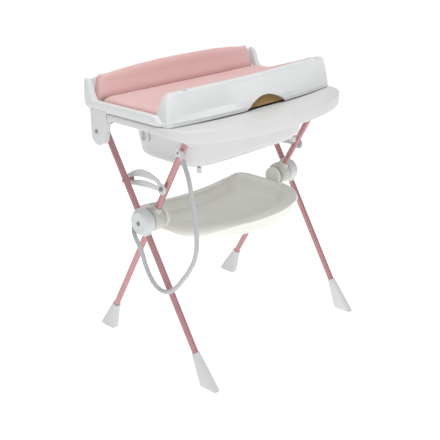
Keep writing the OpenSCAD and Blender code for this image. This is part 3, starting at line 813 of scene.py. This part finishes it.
# ---- Changing top: front wall ----
# A hollow bowed wall that leans in. A ledge sweeps along its foot from the left
# corner, and an arched hand-hold with a beaded edge is cut in its bottom edge.
wall_foot = top_under - 0.0065
wall_face_y = -0.117
wall_back_y = -0.095
wall_back_foot = -0.080
wall_half = 0.400


def wall_top(x):
    """The wall's top edge climbs a little towards the right end."""
    return 0.9435 + 0.0105 * smooth_step(-0.05, 0.39, x)


def wall_ring(x, skin=0.0):
    """The wall's closed section at x; skin shrinks it for the hollow inside."""
    foot_y = front_edge(x * 0.97) + 0.002 + skin
    end_round = 0.024 if x < 0 else 0.010
    into_end = min(1.0, max(0.0, abs(x) - (wall_half - end_round)) / end_round)
    top = wall_top(x) - end_round * (1 - math.sqrt(1 - into_end ** 2)) - skin
    swept = 1 - smooth_step(-0.135, -0.090, x)
    ledge_y = foot_y + 0.0035 + swept * max(0.0, skin - 0.1405 - foot_y)
    ledge_z = top_under + 0.0195 - 0.011 * (1 - smooth_step(-0.405, -0.33, x)) - skin * 0.5
    face_y = wall_face_y + skin
    back_y = wall_back_y - skin
    section = [(foot_y + 0.0015, wall_foot), (foot_y, wall_foot + 0.002), (foot_y + 0.0004, top_under + 0.002),
               ((foot_y + ledge_y) / 2 - 0.001, (top_under + ledge_z) / 2 + 0.001),
               (ledge_y - 0.0012 * swept, ledge_z - 0.0006),
               (ledge_y + 0.0004, ledge_z + 0.0022 * swept + 0.001)]
    start = section[-1]
    for k in range(1, 9):
        share = k / 8
        bulge = 0.0015 * math.sin(math.pi * share)
        section.append((start[0] + (face_y - 0.003 - start[0]) * share - bulge,
                        start[1] + (top - 0.009 - start[1]) * share))
    for k in range(1, 6):
        turn = math.radians(18 * k)
        section.append((face_y - 0.003 + 0.009 * (1 - math.cos(turn)), top - 0.009 + 0.009 * math.sin(turn)))
    for k in range(1, 6):
        turn = math.radians(18 * k)
        section.append((back_y - 0.007 + 0.007 * math.sin(turn), top - 0.007 * (1 - math.cos(turn))))
    for k in range(1, 6):
        share = k / 5
        section.append((back_y + (wall_back_foot - skin - back_y) * share,
                        top - 0.007 + (pad_seat + 0.001 - top + 0.007) * share))
    section.append((wall_back_foot - skin, wall_foot))
    lean_in = 0.060 if x < 0 else 0.022
    ring = []
    for y, z in section:
        rise = max(0.0, (z - wall_foot) / (wall_top(x) - wall_foot))
        below = 0.006 if skin and z < wall_foot + 0.0025 else 0.0
        ring.append(Vector((x * (1 - lean_in * rise), y, z - below)))
    return ring


def ring_about(place, first, second, radius, count):
    """A circle of points about a place, in the plane of two unit directions."""
    turns = [2 * math.pi * k / count for k in range(count)]
    return [place + radius * (first * math.cos(turn) + second * math.sin(turn)) for turn in turns]


WALL_STATIONS = [-wall_half * math.cos(math.radians(2.5 * k)) for k in range(73)]
front_wall = loft("front_wall", [wall_ring(x) for x in WALL_STATIONS])
hollow = loft("hollow", [wall_ring(x * 0.985, 0.0035) for x in WALL_STATIONS[4:-4]])
cut(front_wall, hollow)
arch_cutter = add_cylinder("arch_cutter", hand_radius, 0.050, (hand_x, -0.160, hand_z), (math.pi / 2, 0, 0), 180)
cut(front_wall, arch_cutter)
SLITS = [(-0.300, -0.1125, 0.016, 0.0045, 0.012), (0.352, wall_face_y + 0.011, 0.0045, 0.05, 0.017)]
for x, y, length, width, depth in SLITS:
    cut(front_wall, add_box("slit", (length, width, depth), (x, y, wall_top(x))))
smooth(front_wall, 32)
dress(front_wall, "changing_top", "top_white", top_plastic)

bead_radius = 0.0036
first_turn = math.acos((wall_foot + 0.003 - hand_z) / (hand_radius + bead_radius))
bead_rings = []
for k in range(61):
    turn = -first_turn + 2 * first_turn * k / 60
    x = hand_x + (hand_radius + bead_radius * 0.6) * math.sin(turn)
    z = hand_z + (hand_radius + bead_radius * 0.6) * math.cos(turn)
    foot_y = front_edge(x * 0.97) + 0.0045
    rise = (z - wall_foot) / (wall_top(x) - wall_foot)
    y = foot_y + (wall_face_y - foot_y) * max(0.0, rise) - 0.0006
    outward = Vector((math.sin(turn), 0, math.cos(turn)))
    bead_rings.append(ring_about(Vector((x, y, z)), outward, Vector((0, 1, 0)), bead_radius, 10))
bead = loft("hand_hold_bead", bead_rings)
smooth(bead, 60)
dress(bead, "changing_top", "top_white", top_plastic)

# Painted shade: a thin brown board behind the hand-hold's arch makes the cut-out's inside read as dark brown shade. A
# noise mottles its brown from dark to lighter.
hand_hold_shade_paint, board_tree, board_shader = new_material("hand_hold_shade_brown")
board_place = node(board_tree, "ShaderNodeTexCoord").outputs["Object"]
hand_hold_shade_mottle = node(board_tree, "ShaderNodeTexNoise", {"Vector": board_place, "Scale": 350.0, "Detail": 6.0})
board_tone = node(board_tree, "ShaderNodeValToRGB", {"Fac": hand_hold_shade_mottle.outputs["Fac"]})
board_tone.color_ramp.elements[0].color = (0.24, 0.15, 0.05, 1)
board_tone.color_ramp.elements[1].color = (0.46, 0.31, 0.13, 1)
board_bump = node(board_tree, "ShaderNodeBump", {"Height": hand_hold_shade_mottle.outputs["Fac"], "Strength": 0.4,
                                                 "Distance": 0.0002})
board_tree.links.new(board_tone.outputs["Color"], board_shader.inputs["Base Color"])
board_tree.links.new(board_bump.outputs["Normal"], board_shader.inputs["Normal"])
board_shader.inputs["Roughness"].default_value = 0.85
board = add_box("hand_hold_shade_board", (0.25, 0.003, 0.048), (hand_x, -0.1485, 0.8725), (math.radians(-26), 0, 0))
round_edges(board, 0.0006, 2)
dress(board, "changing_top", "top_white", hand_hold_shade_paint)

# ---- Changing top: rear wall ----
# A thin arched back wall behind the bolster, with a raked post at each end.
arch_rise = 0.028
rear_ends_z = 0.938
post_inner = 0.388


def arch(x):
    return arch_rise * (1 - (x / top_half) ** 2)


rear_rings = []
for k in range(49):
    x = -0.404 + 0.808 * k / 48
    top = rear_ends_z + arch(x)
    rear_rings.append([Vector((x, y, z)) for y, z in (
        (0.2345, pad_seat), (0.2345, top - 0.004), (0.2355, top - 0.0012), (0.2380, top), (0.2405, top - 0.0012),
        (0.2418, top - 0.004), (0.2418, top_under + 0.001), (0.2345, top_under + 0.001))])
rear_wall = loft("rear_wall", rear_rings)
smooth(rear_wall, 40)
dress(rear_wall, "changing_top", "top_white", top_plastic)
POST_SECTIONS = [(0.0, 0.172, 0.0), (0.012, 0.188, 0.0), (0.026, 0.199, 0.0), (0.045, 0.206, 0.001),
                 (0.062, 0.212, 0.0025), (0.074, 0.217, 0.004), (0.079, 0.221, 0.006), (0.082, 0.227, 0.009)]
for side, side_name in ((-1, "left"), (1, "right")):
    post_rings = []
    for rise, front_y, inset in POST_SECTIONS:
        middle_x = (post_inner + top_half) / 2 - inset * 0.3
        middle_y = (front_y + top_rear) / 2 - 0.0005
        half_x = (top_half - post_inner) / 2 - inset * 0.7
        half_y = (top_rear - front_y) / 2 - inset * 0.25
        middle = (side * middle_x, middle_y, lip_top - 0.016 + rise)
        post_rings.append(rectangle_ring(middle, side * half_x, half_y, 4.5, 32))
    post = loft(f"rear_post_{side_name}", post_rings)
    smooth(post, 50)
    dress(post, "changing_top", "top_white", top_plastic)

# ---- Pads ----
# Soft foam in welded pink vinyl: a flat floor pad, a high arched bolster along the
# back and a thin one inside the front wall. Each is sewn or welded shut at its rim.
def vinyl_surface():
    """Vinyl skin: fine leather grain, soft creasing and slow changes of colour."""
    group, given, result = new_group(
        "vinyl_surface", {"Color": "NodeSocketColor", "Deep Color": "NodeSocketColor", "Grain": "NodeSocketFloat"},
        {"Color": "NodeSocketColor", "Roughness": "NodeSocketFloat", "Height": "NodeSocketFloat"})
    place = node(group, "ShaderNodeTexCoord").outputs["Object"]
    cells = node(group, "ShaderNodeTexVoronoi", {"Vector": place, "Scale": given["Grain"]}, feature="DISTANCE_TO_EDGE")
    pores = node(group, "ShaderNodeMapRange", {"Value": cells.outputs["Distance"], "From Max": 0.22})
    cloud = node(group, "ShaderNodeTexNoise", {"Vector": place, "Scale": 5.0, "Detail": 4.0})
    crease = node(group, "ShaderNodeTexNoise", {"Vector": place, "Scale": 38.0, "Detail": 3.0})
    share = node(group, "ShaderNodeMapRange", {"Value": cloud.outputs["Fac"], "From Min": 0.3, "From Max": 0.7,
                                               "To Min": 0.0, "To Max": 0.55})
    tone = node(group, "ShaderNodeMix", {"Factor": share.outputs["Result"], "A": given["Color"],
                                         "B": given["Deep Color"]}, data_type="RGBA")
    lit = node(group, "ShaderNodeMapRange", {"Value": pores.outputs["Result"], "To Min": 0.93, "To Max": 1.0})
    color = node(group, "ShaderNodeVectorMath", {0: tone.outputs["Result"], "Scale": lit.outputs["Result"]},
                 operation="SCALE")
    rough = node(group, "ShaderNodeMapRange", {"Value": crease.outputs["Fac"], "To Min": 0.40, "To Max": 0.56})
    soft = node(group, "ShaderNodeMath", {0: crease.outputs["Fac"], 1: 0.6}, operation="MULTIPLY")
    height = node(group, "ShaderNodeMath", {0: pores.outputs["Result"], 1: soft.outputs["Value"]}, operation="ADD")
    group.links.new(color.outputs["Vector"], result["Color"])
    group.links.new(rough.outputs["Result"], result["Roughness"])
    group.links.new(height.outputs["Value"], result["Height"])
    return group


pad_vinyl = skinned(
    "pink_vinyl", vinyl_surface(),
    {"Color": (0.85, 0.575, 0.56, 1), "Deep Color": (0.81, 0.53, 0.505, 1), "Grain": 420.0},
    0.35, 0.00025, Specular_IOR_Level=0.45, Subsurface_Weight=0.08, Subsurface_Radius=(0.006, 0.003, 0.003))


def stuff(piece, voxel, cap, low, high):
    """Swells a closed form like foam in a tight skin, no point moving more than cap or leaving the box."""
    remesh = piece.modifiers.new("even_mesh", "REMESH")
    remesh.mode = "VOXEL"
    remesh.voxel_size = voxel
    apply_modifiers(piece)
    start = [vertex.co.copy() for vertex in piece.data.vertices]
    cloth = piece.modifiers.new("stuffing", "CLOTH")
    cloth.settings.use_pressure = True
    cloth.settings.uniform_pressure_force = 4.0
    cloth.settings.effector_weights.gravity = 0.0
    cloth.settings.quality = 4
    for step in range(1, 21):
        bpy.context.scene.frame_set(step)
    apply_modifiers(piece)
    bpy.context.scene.frame_set(1)
    for vertex, home in zip(piece.data.vertices, start):
        moved = vertex.co - home
        if moved.length > cap:
            vertex.co = home + moved * (cap / moved.length)
        for axis in range(3):
            vertex.co[axis] = min(high[axis], max(low[axis], vertex.co[axis]))
    rounder = piece.modifiers.new("even_skin", "SMOOTH")
    rounder.iterations = 2
    finer = piece.modifiers.new("finer_skin", "SUBSURF")
    finer.levels = 1
    finer.render_levels = 1
    apply_modifiers(piece)
    pick(piece)
    bpy.ops.object.shade_smooth()


def piping(name, path, pad, radius):
    """A welded bead that runs once round a pad, half sunk in its skin."""
    spots = []
    for start, end in zip(path, path[1:] + path[:1]):
        steps = max(1, round((end - start).length / 0.004))
        spots += [start.lerp(end, k / steps) for k in range(steps)]
    found = [pad.closest_point_on_mesh(spot) for spot in spots]
    rings = []
    for k in range(len(found) + 1):
        place, normal = found[k % len(found)][1:3]
        way = (found[(k + 1) % len(found)][1] - found[k - 1][1]).normalized()
        across = way.cross(normal).normalized()
        rings.append(ring_about(place, across, normal, radius, 8))
    bead = loft(name, rings, close_start=False, close_end=False)
    smooth(bead, 60)
    dress(bead, "changing_top", "pad_vinyl", pad_vinyl)


def end_tuck(share, depth):
    """How far a section draws in near either end of a pad, share running from 0 to 1 along it."""
    end = min(1.0, min(share, 1 - share) / 0.012)
    return depth * (1 - math.sqrt(1 - (1 - end) ** 2))


floor_low, floor_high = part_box("pad_floor")
floor_rings = []
floor_middle = ((floor_low[0] + floor_high[0]) / 2, (floor_low[1] + floor_high[1]) / 2)
floor_half = ((floor_high[0] - floor_low[0]) / 2 - 0.010, (floor_high[1] - floor_low[1]) / 2 - 0.0005)
for height, inset in ((0.001, 0.006), (0.003, 0.002), (0.008, 0.0), (0.014, 0.0), (0.018, 0.002), (0.0205, 0.006),
                      (0.0215, 0.016), (0.0220, 0.060)):
    floor_rings.append(rectangle_ring((*floor_middle, floor_low[2] + height), floor_half[0] - inset,
                                      floor_half[1] - inset, 16, 120))
pad_floor = loft("floor_pad", floor_rings)
stuff(pad_floor, 0.0055, 0.005, floor_low, Vector(floor_high) + Vector((0, 0, 0.002)))
dress(pad_floor, "changing_top", "pad_vinyl", pad_vinyl, "pad_floor")
piping("floor_piping", floor_rings[3], pad_floor, 0.0012)

rear_low, rear_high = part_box("pad_rear")
bolster_half = 0.385


def bolster_top(x):
    """Height of the back bolster: arched, with a small rise at each sewn end."""
    return (0.975 - 0.016 * (x / 0.33) ** 2 + 0.006 * smooth_step(0.0, 0.30, x)
            + 0.003 * smooth_step(0.362, 0.374, abs(x)))


def bolster_ring(x, tuck=0.0):
    """The bolster's closed section at x, leaning back; its ends lean in towards the top."""
    top = bolster_top(x) - tuck
    y0, y1 = rear_low[1] + 0.002 + tuck, rear_high[1] - 0.0015
    return [Vector((x * (1 - 0.055 * (z - pad_seat) / (top - pad_seat)), y, z)) for y, z in (
        (y0 + 0.004, pad_seat + 0.003), (y0, pad_seat + 0.010), (y0 + 0.0005, pad_seat + 0.026),
        (y0 + 0.0045, pad_seat + 0.045), (y0 + 0.009, pad_seat + 0.063), (y0 + 0.0135, top - 0.007),
        (y0 + 0.0165, top - 0.002), (y0 + 0.0205, top), (y1 - 0.002, top - 0.002), (y1, top - 0.007),
        (y1, pad_seat + 0.045), (y1, pad_seat + 0.010), (y1 - 0.004, pad_seat + 0.003))]


bolster_rings = [bolster_ring(bolster_half * (2 * share - 1), end_tuck(share, 0.006))
                 for share in (k / 80 for k in range(81))]
pad_rear = loft("rear_bolster", bolster_rings)
stuff(pad_rear, 0.0045, 0.004, rear_low, Vector((rear_high[0], rear_high[1], 1.0)))
dress(pad_rear, "changing_top", "pad_vinyl", pad_vinyl, "pad_rear")
for side, side_name in ((-1, "left"), (1, "right")):
    piping(f"bolster_piping_{side_name}", bolster_ring(side * (bolster_half - 0.003)), pad_rear, 0.0011)

strip_low, strip_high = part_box("pad_front")
strip_rings = []
for share in (k / 60 for k in range(61)):
    x = (strip_low[0] + 0.025) + (strip_high[0] - strip_low[0] - 0.030) * share
    top = 0.939 + 0.017 * smooth_step(-0.08, 0.16, x) - end_tuck(share, 0.005)
    strip_rings.append([Vector((x, y, z)) for y, z in (
        (-0.0795, pad_seat + 0.004), (-0.0785, pad_seat + 0.020), (-0.0795, pad_seat + 0.045), (-0.0825, top - 0.012),
        (-0.0855, top - 0.003), (-0.0885, top), (-0.0920, top - 0.003), (-0.0935, top - 0.012),
        (-0.0900, pad_seat + 0.045), (-0.0865, pad_seat + 0.020), (-0.0840, pad_seat + 0.004))])
pad_front = loft("front_bolster", strip_rings)
stuff(pad_front, 0.0035, 0.003, Vector((strip_low[0], -0.098, pad_seat)), Vector((strip_high[0], -0.0765, 0.965)))
dress(pad_front, "changing_top", "pad_vinyl", pad_vinyl, "pad_front")
